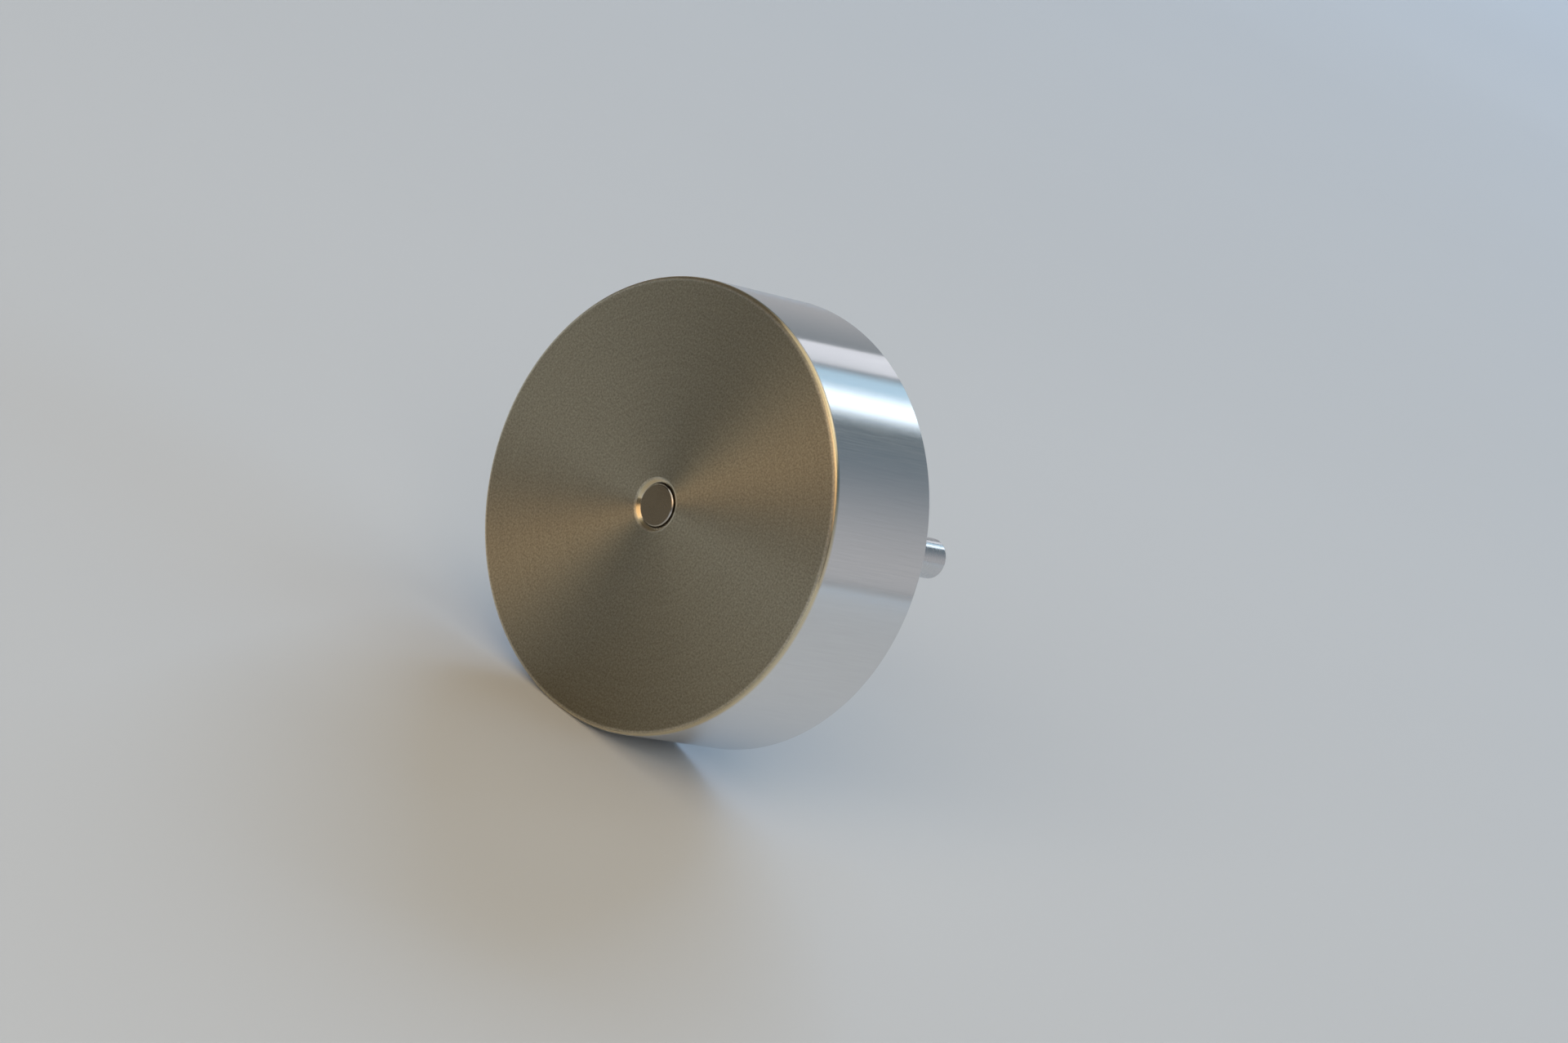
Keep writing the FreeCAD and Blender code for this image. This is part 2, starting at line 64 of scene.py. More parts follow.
# Studio floor and light: a pale matt sheet in a softly glowing room that is dim in front.
# A window and three small panels stand behind the motor, a neutral and a warm panel in
# front of it, a softbox over it and a small low lamp at its right.
floor_height = -0.0214
floor_size = 12.0
floor_middle = (0, 2.0, floor_height)
floor_grey = (0.508, 0.509, 0.505)
wall_glow = (0.48, 0.485, 0.50)
cornice_glow = (0.10, 0.155, 0.20)
ceiling_glow = (0.84, 0.77, 0.63)
front_glow = (0.12, 0.105, 0.085)
cornice_start, cornice_end = 0.1, 0.64
cornice_falloff = 1.8
ceiling_start, ceiling_end = 0.74, 0.84
window_side = (0.5, 0.86, 0.0)
front_blend = 0.2


def soft_lamp(name, place, size, power, colour):
    """Area lamp that faces the motor."""
    turn = (-Vector(place)).to_track_quat("-Z", "Y").to_euler()
    bpy.ops.object.light_add(type="AREA", location=place, rotation=turn)
    lamp = bpy.context.object
    lamp.name = name
    lamp.data.shape = "RECTANGLE"
    lamp.data.size, lamp.data.size_y = size
    lamp.data.energy = power
    lamp.data.color = colour
    return lamp


soft_lamp("overhead_softbox", (0.3, -0.8, 2.3), (2.6, 2.6), 14, (1.0, 0.92, 0.76))
soft_lamp("strip_lamp", (-0.045, 0.92, 0.77), (0.17, 0.3), 0.42, (0.78, 0.90, 1.0))
soft_lamp("sky_window", (-0.22, 0.92, 0.74), (0.14, 0.3), 0.135, (0.50, 0.78, 1.0))
soft_lamp("side_window", (-0.43, 0.92, 0.64), (0.16, 0.3), 0.148, (0.95, 0.94, 1.0))
right_glow = soft_lamp("right_glow", (0.45, 0.36, 0.22), (0.4, 0.3), 0.6, (0.35, 0.65, 1.0))
window = soft_lamp("window_panel", (-2.28, 3.05, 1.5), (1.8, 1.3), 182, (0.47, 0.69, 1.0))
room_front = soft_lamp("room_front", (1.2, -2.15, 0.9), (2.4, 1.2), 45, (1.0, 0.93, 0.80))
soft_lamp("warm_panel", (0.62, -1.5, 1.12), (1.8, 1.1), 8, (1.0, 0.66, 0.36))
for lamp in (window, room_front, right_glow):
    lamp.visible_glossy = False

room = bpy.data.worlds.new("room")
room.use_nodes = True
room_tree = room.node_tree


def room_node(kind, inputs, **settings):
    """First output of a new node of the room's light."""
    node = room_tree.nodes.new(kind)
    for setting, value in settings.items():
        setattr(node, setting, value)
    for socket, value in inputs.items():
        if isinstance(value, bpy.types.NodeSocket):
            room_tree.links.new(value, node.inputs[socket])
        else:
            node.inputs[socket].default_value = value
    return node.outputs[0]


def room_mix(share, first, second):
    """One light of the room giving way to another."""
    return room_node("ShaderNodeMix", {0: share, 6: first, 7: second},
                     data_type="RGBA").node.outputs[2]


look = room_node("ShaderNodeTexCoord", {})
height = room_node("ShaderNodeSeparateXYZ", {0: look}).node.outputs["Z"]
rise = room_node("ShaderNodeMapRange", {0: height, 1: cornice_start, 2: cornice_end})
cornice = room_node("ShaderNodeMath", {0: rise, 1: cornice_falloff}, operation="POWER")
ceiling = room_node("ShaderNodeMapRange", {0: height, 1: ceiling_start, 2: ceiling_end})
away = room_node("ShaderNodeVectorMath", {0: look, 1: window_side},
                 operation="DOT_PRODUCT").node.outputs["Value"]
front = room_node("ShaderNodeMapRange", {0: away, 1: front_blend, 2: -front_blend})
walls = room_mix(cornice, (*wall_glow, 1), (*cornice_glow, 1))
upper = room_mix(ceiling, walls, (*ceiling_glow, 1))
room_tree.links.new(room_mix(front, upper, (*front_glow, 1)),
                    room_tree.nodes["Background"].inputs["Color"])
bpy.context.scene.world = room
bpy.context.scene.view_settings.view_transform = "Standard"


class Shader:
    """Principled material and the few kinds of node that the finishes are built from."""

    def __init__(self, name, colour, roughness, metallic=0.0, **sockets):
        self.material = bpy.data.materials.new(name)
        self.material.use_nodes = True
        self.tree = self.material.node_tree
        self.surface = self.tree.nodes["Principled BSDF"]
        self.set(self.surface, "Base Color", (*colour, 1))
        self.set(self.surface, "Roughness", roughness)
        self.set(self.surface, "Metallic", metallic)
        for socket, value in sockets.items():
            self.set(self.surface, socket.replace("_", " "), value)
        self.place = self.node("ShaderNodeTexCoord").outputs["Object"]

    def set(self, node, socket, value):
        """Put a value in a socket, or link it where the value is another node's output."""
        if isinstance(value, bpy.types.NodeSocket):
            self.tree.links.new(value, node.inputs[socket])
        else:
            node.inputs[socket].default_value = value

    def node(self, kind, inputs=None, **settings):
        """New node with its settings and its inputs."""
        node = self.tree.nodes.new(kind)
        for setting, value in settings.items():
            setattr(node, setting, value)
        for socket, value in (inputs or {}).items():
            self.set(node, socket, value)
        return node

    def math(self, operation, first, second=0.0):
        """One sum on numbers."""
        return self.node("ShaderNodeMath", {0: first, 1: second}, operation=operation).outputs[0]

    def noise(self, scale, detail, vector=None):
        """Noise value at a scale in repeats per metre."""
        inputs = {"Vector": vector or self.place, "Scale": scale, "Detail": detail}
        return self.node("ShaderNodeTexNoise", inputs).outputs["Fac"]

    def spread(self, value, low, high, new_low, new_high):
        """Value taken from one range to another, held at the new range's ends."""
        inputs = {"Value": value, "From Min": low, "From Max": high,
                  "To Min": new_low, "To Max": new_high}
        return self.node("ShaderNodeMapRange", inputs).outputs["Result"]

    def ramp(self, value, stops):
        """Colour from a value, through (place, colour) stops."""
        node = self.node("ShaderNodeValToRGB", {"Fac": value})
        elements = node.color_ramp.elements
        while len(elements) < len(stops):
            elements.new(0.5)
        for element, (place, colour) in zip(elements, stops):
            element.position = place
            element.color = (*colour, 1)
        return node.outputs["Color"]

    def tone(self, value, stops):
        """Base colour from a value, through (place, colour) stops."""
        self.set(self.surface, "Base Color", self.ramp(value, stops))

    def gloss(self, noise, low, high):
        """Roughness that goes from low to high over the middle of a noise value's range."""
        self.set(self.surface, "Roughness", self.spread(noise, 0.3, 0.7, low, high))

    def bump(self, height, distance, strength):
        """Relief of a given depth in metres."""
        inputs = {"Height": height, "Distance": distance, "Strength": strength}
        self.set(self.surface, "Normal", self.node("ShaderNodeBump", inputs).outputs["Normal"])

    def round_sheen(self):
        """Sheen drawn out along circles round the shaft axis."""
        tangent = self.node("ShaderNodeTangent", direction_type="RADIAL", axis="Y")
        self.set(self.surface, "Tangent", tangent.outputs[0])

    def cylinder_places(self):
        """Distance from the shaft axis, place along it, and the direction outwards."""
        parts = self.node("ShaderNodeSeparateXYZ", {0: self.place}).outputs
        flat = self.node("ShaderNodeCombineXYZ", {0: parts[0], 2: parts[2]}).outputs[0]
        radius = self.node("ShaderNodeVectorMath", {0: flat}, operation="LENGTH").outputs["Value"]
        outwards = self.node("ShaderNodeVectorMath", {0: flat}, operation="NORMALIZE").outputs[0]
        return radius, parts[1], outwards

    def lathe_marks(self, pitch, along, outwards, wander=2.0, detail=3.0):
        """Noise in rings round the shaft axis, that varies slowly along each ring."""
        steps = self.math("DIVIDE", along, pitch)
        slow = self.node("ShaderNodeVectorMath", {0: outwards, 1: (wander,) * 3},
                         operation="MULTIPLY").outputs[0]
        slow = self.node("ShaderNodeSeparateXYZ", {0: slow}).outputs
        vector = self.node("ShaderNodeCombineXYZ", {0: steps, 1: slow[0], 2: slow[2]}).outputs[0]
        return self.noise(1.0, detail, vector)


floor_paper = Shader("floor_paper", floor_grey, 0.9)
floor_paper.tone(floor_paper.noise(3.0, 3.0), [
    (0.3, tuple(0.98 * grey for grey in floor_grey)),
    (0.7, tuple(1.02 * grey for grey in floor_grey)),
])
floor_paper.bump(floor_paper.noise(900.0, 4.0), 0.00003, 0.2)
bpy.ops.mesh.primitive_plane_add(size=floor_size, location=floor_middle)
floor = bpy.context.object
floor.name = "floor"
floor.data.materials.append(floor_paper.material)


# Rotor cup: turned from solid bar, with fine rings from the tool on its closed face, a
# rounded corner, a smooth brushed wall and a countersunk hole for the shaft. Its closed
# face is coloured darker and warmer than the wall as painted shade, and its corner and
# countersink carry a painted gold highlight.
cup_low, cup_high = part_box("rotor_cup")
cup_radius = cup_high.x
cup_face = cup_low.y
cup_rim = cup_high.y
cup_wall = 0.0014
cup_base = 0.0015
cup_corner = 0.00055
inner_corner = 0.0004
rim_chamfer = 0.0003
hub_end = -0.0171
hub_radius = 0.0045
bore_radius = 0.0020
countersink_radius = 0.0026
countersink_depth = 0.00045
face_ring_pitch = 0.00014
wall_streak_pitch = 0.006
weld_distance = 1e-7
ring_reach = 3e-6
smooth_angle = math.radians(30)


def pick(*pieces):
    """Select these pieces alone, with the first one active."""
    bpy.ops.object.select_all(action="DESELECT")
    for piece in pieces:
        piece.select_set(True)
    bpy.context.view_layer.objects.active = pieces[0]


def turned(name, outline, segments, capped=False):
    """Mesh turned about the shaft axis: a circle extruded from corner to corner."""
    radius, along = outline[0]
    bpy.ops.object.select_all(action="DESELECT")
    bpy.ops.mesh.primitive_circle_add(vertices=segments, radius=radius,
                                      location=(0, along, 0), rotation=(math.pi / 2, 0, 0))
    bpy.ops.object.transform_apply(location=True, rotation=True, scale=True)
    bpy.ops.object.mode_set(mode="EDIT")
    bpy.ops.mesh.select_all(action="SELECT")
    for next_radius, next_along in outline[1:]:
        step = (0, next_along - along, 0)
        bpy.ops.mesh.extrude_region_move(TRANSFORM_OT_translate={"value": step})
        growth = next_radius / radius
        bpy.ops.transform.resize(value=(growth, 1, growth), center_override=(0, next_along, 0))
        radius, along = next_radius, next_along
    bpy.ops.mesh.select_all(action="SELECT")
    bpy.ops.mesh.remove_doubles(threshold=weld_distance)
    if capped:
        bpy.ops.mesh.fill_holes(sides=0)
        bpy.ops.mesh.select_all(action="SELECT")
    bpy.ops.mesh.normals_make_consistent(inside=False)
    bpy.ops.object.mode_set(mode="OBJECT")
    piece = bpy.context.object
    piece.name = name
    return piece


def round_rings(piece, rings, segments=3):
    """Round the circular edges of a turned piece, each given as (radius, y, width)."""
    for ring_radius, ring_along, width in rings:
        bpy.ops.object.mode_set(mode="EDIT")
        bpy.ops.mesh.select_mode(type="VERT")
        bpy.ops.mesh.select_all(action="DESELECT")
        bpy.ops.object.mode_set(mode="OBJECT")
        for vertex in piece.data.vertices:
            off_radius = abs(math.hypot(vertex.co.x, vertex.co.z) - ring_radius)
            off_along = abs(vertex.co.y - ring_along)
            vertex.select = off_radius < ring_reach and off_along < ring_reach
        bpy.ops.object.mode_set(mode="EDIT")
        bpy.ops.mesh.select_mode(type="EDGE")
        bpy.ops.mesh.bevel(offset=width, segments=segments, affect="EDGES")
        bpy.ops.object.mode_set(mode="OBJECT")


def finish_piece(piece, shader, body, slot, *nodes):
    """Smooth shading with flat faces kept flat, then the material and what it stands for."""
    pick(piece)
    bpy.ops.object.shade_smooth_by_angle(angle=smooth_angle)
    bpy.ops.object.modifier_add(type="WEIGHTED_NORMAL")
    piece.modifiers[-1].keep_sharp = True
    bpy.ops.object.modifier_apply(modifier=piece.modifiers[-1].name)
    piece.data.materials.clear()
    piece.data.materials.append(shader.material)
    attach(piece, body)
    if nodes:
        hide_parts(*nodes)


cup = turned("cup_shell", [
    (countersink_radius, cup_face),
    (cup_radius, cup_face),
    (cup_radius, cup_rim - rim_chamfer),
    (cup_radius - rim_chamfer, cup_rim),
    (cup_radius - cup_wall, cup_rim),
    (cup_radius - cup_wall, cup_face + cup_base),
    (hub_radius, cup_face + cup_base),
    (hub_radius, hub_end),
    (bore_radius, hub_end),
    (bore_radius, cup_face + countersink_depth),
    (countersink_radius, cup_face),
], segments=256)
round_rings(cup, [
    (cup_radius, cup_face, cup_corner),
    (cup_radius - cup_wall, cup_face + cup_base, inner_corner),
    (hub_radius, cup_face + cup_base, inner_corner),
], segments=8)
round_rings(cup, [
    (countersink_radius, cup_face, 0.00006),
    (cup_radius, cup_rim - rim_chamfer, 0.00008),
    (cup_radius - rim_chamfer, cup_rim, 0.00008),
    (cup_radius - cup_wall, cup_rim, 0.00010),
    (hub_radius, hub_end, 0.00015),
])

cup_steel = Shader("cup_steel", (0.6, 0.6, 0.6), 0.30, 1.0,
                   Anisotropic=0.92, Anisotropic_Rotation=0.25)
cup_steel.round_sheen()
radius, along, outwards = cup_steel.cylinder_places()
outline_place = cup_steel.math("ADD", radius, along)
corner_share = cup_steel.spread(along, cup_face, cup_face + cup_corner, 0.0, 1.0)
face_share = cup_steel.spread(corner_share, 0.0, 0.3, 1.0, 0.0)
fine_rings = cup_steel.lathe_marks(face_ring_pitch, outline_place, outwards)
grain = cup_steel.noise(5000.0, 2.0)
face_marks = cup_steel.math("ADD", cup_steel.math("MULTIPLY", fine_rings, 0.2), grain)
wall_streaks = cup_steel.lathe_marks(wall_streak_pitch, along, outwards, wander=200.0, detail=2.0)
face_shade = cup_steel.spread(face_marks, 0.4, 0.8, 0.76, 1.24)
wall_shade = cup_steel.spread(wall_streaks, 0.3, 0.7, 0.97, 1.03)
shade = cup_steel.node("ShaderNodeMix", {0: face_share, 2: wall_shade, 3: face_shade}).outputs[0]
# Painted shade and painted highlight: the closed face gets a darker, warmer colour than the wall of
# the same steel, and the corner and the countersink get a pale gold painted highlight. Only the wall
# keeps the steel's own silver.
cup_colour_and_painted_light = cup_steel.ramp(corner_share, [
    (0.0, (0.38, 0.345, 0.26)),
    (0.04, (0.62, 0.58, 0.48)),
    (0.5, (0.72, 0.62, 0.42)),
    (1.0, (0.73, 0.73, 0.735)),
])
cup_steel.set(cup_steel.surface, "Base Color",
              cup_steel.node("ShaderNodeVectorMath", {0: cup_colour_and_painted_light, 1: shade},
                             operation="MULTIPLY").outputs[0])
polish = cup_steel.spread(wall_streaks, 0.3, 0.7, -0.02, 0.02)
dullness = cup_steel.ramp(corner_share, [(0.1, (0.52,) * 3), (0.3, (0.2,) * 3), (1.0, (0.18,) * 3)])
cup_steel.set(cup_steel.surface, "Roughness", cup_steel.math("ADD", polish, dullness))
cup_steel.bump(cup_steel.math("MULTIPLY", face_marks, face_share), 0.0000015, 0.3)
finish_piece(cup, cup_steel, "rotor", "turned_steel", "rotor_cup")


# Shaft: ground bright, its rear end just inside the cup's hole, a groove for the retaining
# ring and a chamfered free end. Its rear end face and a band round its side down in the
# hole are coloured dark as painted shade.
shaft_radius = 0.0020
shaft_recess = 0.00015
shaft_rear = cup_face + shaft_recess
shaft_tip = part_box("shaft")[1].y
rear_chamfer = 0.00012
tip_chamfer = 0.0003
end_middle = 0.0004
groove_rear = 0.0011
groove_front = 0.00175
groove_radius = 0.00175
# Painted shade: dark colours for the rear end face and for the band round the side that lies down in
# the cup's countersunk hole.
end_painted_shade = (0.17, 0.135, 0.09)
ground_colour = (0.66, 0.66, 0.67)
groove_painted_shade = (0.07, 0.055, 0.042)
coloured_length = 0.0004

shaft = turned("ground_shaft", [
    (end_middle, shaft_rear),
    (shaft_radius - rear_chamfer, shaft_rear),
    (shaft_radius, shaft_rear + rear_chamfer),
    (shaft_radius, groove_rear),
    (groove_radius, groove_rear),
    (groove_radius, groove_front),
    (shaft_radius, groove_front),
    (shaft_radius, shaft_tip - tip_chamfer),
    (shaft_radius - tip_chamfer, shaft_tip),
    (end_middle, shaft_tip),
], segments=256, capped=True)
round_rings(shaft, [
    (shaft_radius - rear_chamfer, shaft_rear, 0.00003),
    (shaft_radius, shaft_rear + rear_chamfer, 0.00003),
    (shaft_radius, shaft_tip - tip_chamfer, 0.00006),
    (shaft_radius - tip_chamfer, shaft_tip, 0.00006),
])
shaft_steel = Shader("shaft_steel", ground_colour, 0.22, 1.0, Anisotropic=0.5,
                     Anisotropic_Rotation=0.25)
shaft_steel.round_sheen()
radius, along, outwards = shaft_steel.cylinder_places()
grinding = shaft_steel.lathe_marks(0.00008, shaft_steel.math("ADD", radius, along), outwards)
from_end = shaft_steel.spread(along, shaft_rear, shaft_rear + coloured_length, 0.0, 1.0)
# Painted shade: the rear end face and a band round the side inside the countersunk hole are coloured
# dark. The chamfer between them stays bright.
shaft_steel.tone(from_end, [
    (0.0, end_painted_shade),
    (0.12, ground_colour),
    (0.28, ground_colour),
    (0.33, groove_painted_shade),
    (0.76, groove_painted_shade),
    (0.80, ground_colour),
])
shaft_steel.gloss(grinding, 0.16, 0.30)
shaft_steel.bump(grinding, 0.000002, 0.3)
finish_piece(shaft, shaft_steel, "rotor", "ground_steel", "shaft")


# Mounting flange: one turned aluminium piece that carries all that stands still. It has a
# pilot round the shaft, a smooth mounting face and four threaded holes.
flange_radius = 0.0175
flange_front = -0.0030
board_front = -0.0054
boss_radius = 0.0150
pilot_radius = 0.0080
pilot_front = 0.0016
face_inside = pilot_radius + 0.0005
face_outside = boss_radius - 0.0006
collar_radius = 0.0080
core_front = -0.0098
tube_radius = 0.0070
tube_end = -0.0170
bearing_radius = 0.0050
front_seat = -0.0029
rear_seat = -0.0117
middle_bore = 0.0042
screw_circle = 0.0125
thread_radius = 0.0015
thread_core = 0.00125
thread_pitch = 0.0005
thread_depth = 0.0042
mouth_radius = thread_radius + 0.0003
drill_point = 0.0003
screw_angles = [math.radians(45 + 90 * i) for i in range(4)]


def at_place(piece, x, y, z):
    """Move a piece's mesh, with its object left at the origin."""
    pick(piece)
    piece.location = (x, y, z)
    bpy.ops.object.transform_apply(location=True, rotation=False, scale=False)
    return piece


def cut_away(piece, tool):
    """Take a closed tool's shape out of a piece."""
    pick(piece)
    bpy.ops.object.modifier_add(type="BOOLEAN")
    piece.modifiers[-1].operation = "DIFFERENCE"
    piece.modifiers[-1].object = tool
    bpy.ops.object.modifier_apply(modifier=piece.modifiers[-1].name)
    bpy.data.objects.remove(tool)


def joined(name, pieces):
    """Several meshes as one piece."""
    pick(*pieces)
    bpy.ops.object.join()
    pieces[0].name = name
    return pieces[0]


flange = turned("flange_body", [
    (bearing_radius, pilot_front),
    (pilot_radius, pilot_front),
    (pilot_radius, 0),
    (face_inside, 0),
    (face_outside, 0),
    (boss_radius, 0),
    (boss_radius, flange_front),
    (flange_radius, flange_front),
    (flange_radius, board_front),
    (collar_radius, board_front),
    (collar_radius, core_front),
    (tube_radius, core_front),
    (tube_radius, tube_end),
    (bearing_radius, tube_end),
    (bearing_radius, rear_seat),
    (middle_bore, rear_seat),
    (middle_bore, front_seat),
    (bearing_radius, front_seat),
    (bearing_radius, pilot_front),
], segments=192)
round_rings(flange, [
    (pilot_radius, pilot_front, 0.0003),
    (boss_radius, 0, 0.0003),
    (flange_radius, flange_front, 0.0003),
    (bearing_radius, pilot_front, 0.0002),
    (bearing_radius, tube_end, 0.0002),
    (flange_radius, board_front, 0.0001),
])
for angle in screw_angles:
    drill = turned("drill", [
        (mouth_radius, 0.0002),
        (thread_radius, -0.0001),
        (thread_radius, -thread_depth),
        (drill_point, -thread_depth - thread_radius * 0.5),
    ], segments=60, capped=True)
    at_place(drill, screw_circle * math.cos(angle), 0, screw_circle * math.sin(angle))
    cut_away(flange, drill)

flange_metal = Shader("turned_aluminium", (0.80, 0.80, 0.81), 0.30, 1.0,
                      Anisotropic=0.7, Anisotropic_Rotation=0.25)
flange_metal.round_sheen()
radius, along, outwards = flange_metal.cylinder_places()
tool_marks = flange_metal.lathe_marks(0.00010, flange_metal.math("SUBTRACT", radius, along), outwards)
flange_metal.gloss(tool_marks, 0.26, 0.38)
flange_metal.tone(flange_metal.noise(260.0, 4.0), [
    (0.35, (0.77, 0.77, 0.78)),
    (0.65, (0.82, 0.82, 0.83)),
])
flange_metal.bump(tool_marks, 0.000003, 0.4)
finish_piece(flange, flange_metal, "stator", "turned_aluminium", "mounting_flange")


# Threads of the four mounting holes: the sharp ridges of an M3 thread stand in from the
# drilled wall, and the first one starts under the chamfered mouth.
thread_back = thread_radius + 0.0001
thread_start = -0.00015
crest_start = 0.45 * thread_pitch
crest_end = 0.58 * thread_pitch
thread_outline = [(thread_back, thread_start)]
for turn in range(int(thread_depth / thread_pitch)):
    ridge = thread_start - turn * thread_pitch
    thread_outline.append((thread_radius, ridge))
    thread_outline.append((thread_core, ridge - crest_start))
    thread_outline.append((thread_core, ridge - crest_end))
thread_outline.append((thread_radius, ridge - thread_pitch))
thread_outline.append((thread_back, ridge - thread_pitch))
thread_outline.append(thread_outline[0])
threads = []
for angle in screw_angles:
    thread = turned("thread", thread_outline, segments=48)
    at_place(thread, screw_circle * math.cos(angle), 0, screw_circle * math.sin(angle))
    threads.append(thread)
finish_piece(joined("screw_threads", threads), flange_metal, "stator", "turned_aluminium")


# Ball bearings: polished rings with ground grooves, closed at each side by a thin pressed
# shield that leaves a hair's gap round the inner ring.
bearing_middles = {"front": -0.0009, "rear": -0.0145}
ball_pitch_radius = 0.0035
race_radius = 0.00078
bearing_half = 0.0020
inner_land = 0.0030
outer_land = 0.0040
shield_seat = 0.0042
shield_bore = 0.0031
shield_inset = 0.00015
shield_step = 0.00035
shield_sheet = 0.0002
shield_dish = 0.00005
ring_corner = 0.00015
bearing_steel = Shader("bearing_steel", (0.70, 0.70, 0.71), 0.14, 1.0)
radius, along, outwards = bearing_steel.cylinder_places()
honing = bearing_steel.lathe_marks(0.00006, bearing_steel.math("ADD", radius, along), outwards)
bearing_steel.gloss(honing, 0.10, 0.20)
bearing_steel.bump(honing, 0.000001, 0.3)
shield_steel = Shader("shield_steel", (0.56, 0.56, 0.57), 0.32, 1.0)
rolled = shield_steel.noise(2600.0, 3.0)
shield_steel.gloss(rolled, 0.26, 0.40)
shield_steel.bump(rolled, 0.000003, 0.3)


def race(middle, side, land):
    """Groove's arc in a ring's outline, from its high edge to its low one."""
    half = math.acos((land - ball_pitch_radius) / race_radius * side)
    points = []
    for step in range(9):
        angle = half - step * half / 4
        points.append((ball_pitch_radius + side * race_radius * math.cos(angle),
                       middle + race_radius * math.sin(angle)))
    return points


def shield(middle, side):
    """Pressed sheet ring just inside one face of the bearing, dished between its rims."""
    outside = middle + side * (bearing_half - shield_inset)
    inside = outside - side * shield_sheet
    dished = outside - side * shield_dish
    return turned("shield", [
        (shield_bore, inside), (shield_seat, inside), (shield_seat, outside),
        (shield_seat - 0.00016, outside), (shield_seat - 0.00024, dished),
        (shield_bore + 0.00022, dished), (shield_bore + 0.00014, outside),
        (shield_bore, outside), (shield_bore, inside),
    ], segments=128)


for end, middle in bearing_middles.items():
    low, high = middle - bearing_half, middle + bearing_half
    step_low, step_high = low + shield_step, high - shield_step
    outer = turned(end + "_outer_ring", [
        (shield_seat, low), (bearing_radius, low), (bearing_radius, high), (shield_seat, high),
        (shield_seat, step_high), (outer_land, step_high), *race(middle, 1, outer_land),
        (outer_land, step_low), (shield_seat, step_low), (shield_seat, low),
    ], segments=128)
    round_rings(outer, [(bearing_radius, low, ring_corner), (bearing_radius, high, ring_corner),
                        (shield_seat, low, 0.00003), (shield_seat, high, 0.00003)])
    finish_piece(outer, bearing_steel, "stator", "bearing_steel", end + "_bearing_outer_ring")
    inner = turned(end + "_inner_ring", [
        (shaft_radius, low), (inner_land, low), *reversed(race(middle, -1, inner_land)),
        (inner_land, high), (shaft_radius, high), (shaft_radius, low),
    ], segments=128)
    round_rings(inner, [(shaft_radius, low, ring_corner), (shaft_radius, high, ring_corner),
                        (inner_land, low, 0.00006), (inner_land, high, 0.00006)])
    finish_piece(inner, bearing_steel, "rotor", "bearing_steel", end + "_bearing_inner_ring")
    shields = joined(end + "_shields", [shield(middle, 1), shield(middle, -1)])
    finish_piece(shields, shield_steel, "stator", "spring_steel", end + "_bearing_shields")


def dress(node, shader, rounding=0.0):
    """Finish of a piece that keeps its shape from the frame, with its edges softened."""
    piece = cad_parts[node]
    piece.data.materials.clear()
    piece.data.materials.append(shader.material)
    if rounding:
        weld = piece.modifiers.new("weld", "WELD")
        weld.merge_threshold = weld_distance
        softened = piece.modifiers.new("softened", "BEVEL")
        softened.width = rounding
        softened.segments = 2
        softened.limit_method = "ANGLE"
        softened.angle_limit = math.radians(40)
        piece.modifiers.new("flat_faces", "WEIGHTED_NORMAL")


cage_plastic = Shader("cage_plastic", (0.80, 0.74, 0.60), 0.5, Subsurface_Weight=0.05)
cage_plastic.bump(cage_plastic.noise(4000.0, 3.0), 0.000004, 0.3)
for end in bearing_middles:
    dress(end + "_bearing_balls", bearing_steel)
    dress(end + "_bearing_cage", cage_plastic)


# Spring steel pieces: the retaining ring in the shaft's groove, the wave spring that loads
# the bearings, and the ground washer behind the cup's hub.
spring_steel = Shader("spring_steel", (0.42, 0.42, 0.43), 0.34, 1.0)
scale_marks = spring_steel.noise(1800.0, 4.0)
spring_steel.tone(scale_marks, [
    (0.35, (0.34, 0.335, 0.33)),
    (0.70, (0.47, 0.47, 0.48)),
])
spring_steel.gloss(scale_marks, 0.28, 0.42)
spring_steel.bump(spring_steel.noise(5000.0, 3.0), 0.000004, 0.3)
dress("retaining_ring", spring_steel, 0.00005)
dress("preload_wave_spring", spring_steel)
dress("hub_spacer", shaft_steel)


# Magnets, bonded in the cup: dull grey coated segments with a fine sandy skin, sixteen of
# them side by side round the inside of its wall.
magnet_skin = Shader("magnet_skin", (0.16, 0.16, 0.17), 0.5, 0.7)
skin_grain = magnet_skin.noise(7000.0, 4.0)
magnet_skin.tone(skin_grain, [
    (0.3, (0.12, 0.12, 0.125)),
    (0.7, (0.20, 0.20, 0.21)),
])
magnet_skin.gloss(skin_grain, 0.4, 0.6)
magnet_skin.bump(skin_grain, 0.000008, 0.4)
dress("rotor_magnets", magnet_skin, 0.0001)


# Stator core: thin stamped sheets, stacked, so its sides show the sheets' edges as fine
# lines and its ends are one dull sheet.
sheet_thickness = 0.00035
lamination = Shader("lamination_steel", (0.34, 0.34, 0.35), 0.45, 1.0)
along = lamination.cylinder_places()[1]
sheet_place = lamination.math("FRACT", lamination.math("DIVIDE", along, sheet_thickness))
sheet_joint = lamination.math("ABSOLUTE", lamination.math("SUBTRACT", sheet_place, 0.5))
joint_depth = lamination.spread(sheet_joint, 0.38, 0.5, 1.0, 0.0)
lamination.tone(joint_depth, [
    (0.0, (0.16, 0.15, 0.145)),
    (0.8, (0.36, 0.36, 0.37)),
])
lamination.bump(joint_depth, 0.00003, 0.6)
dress("stator_core", lamination)


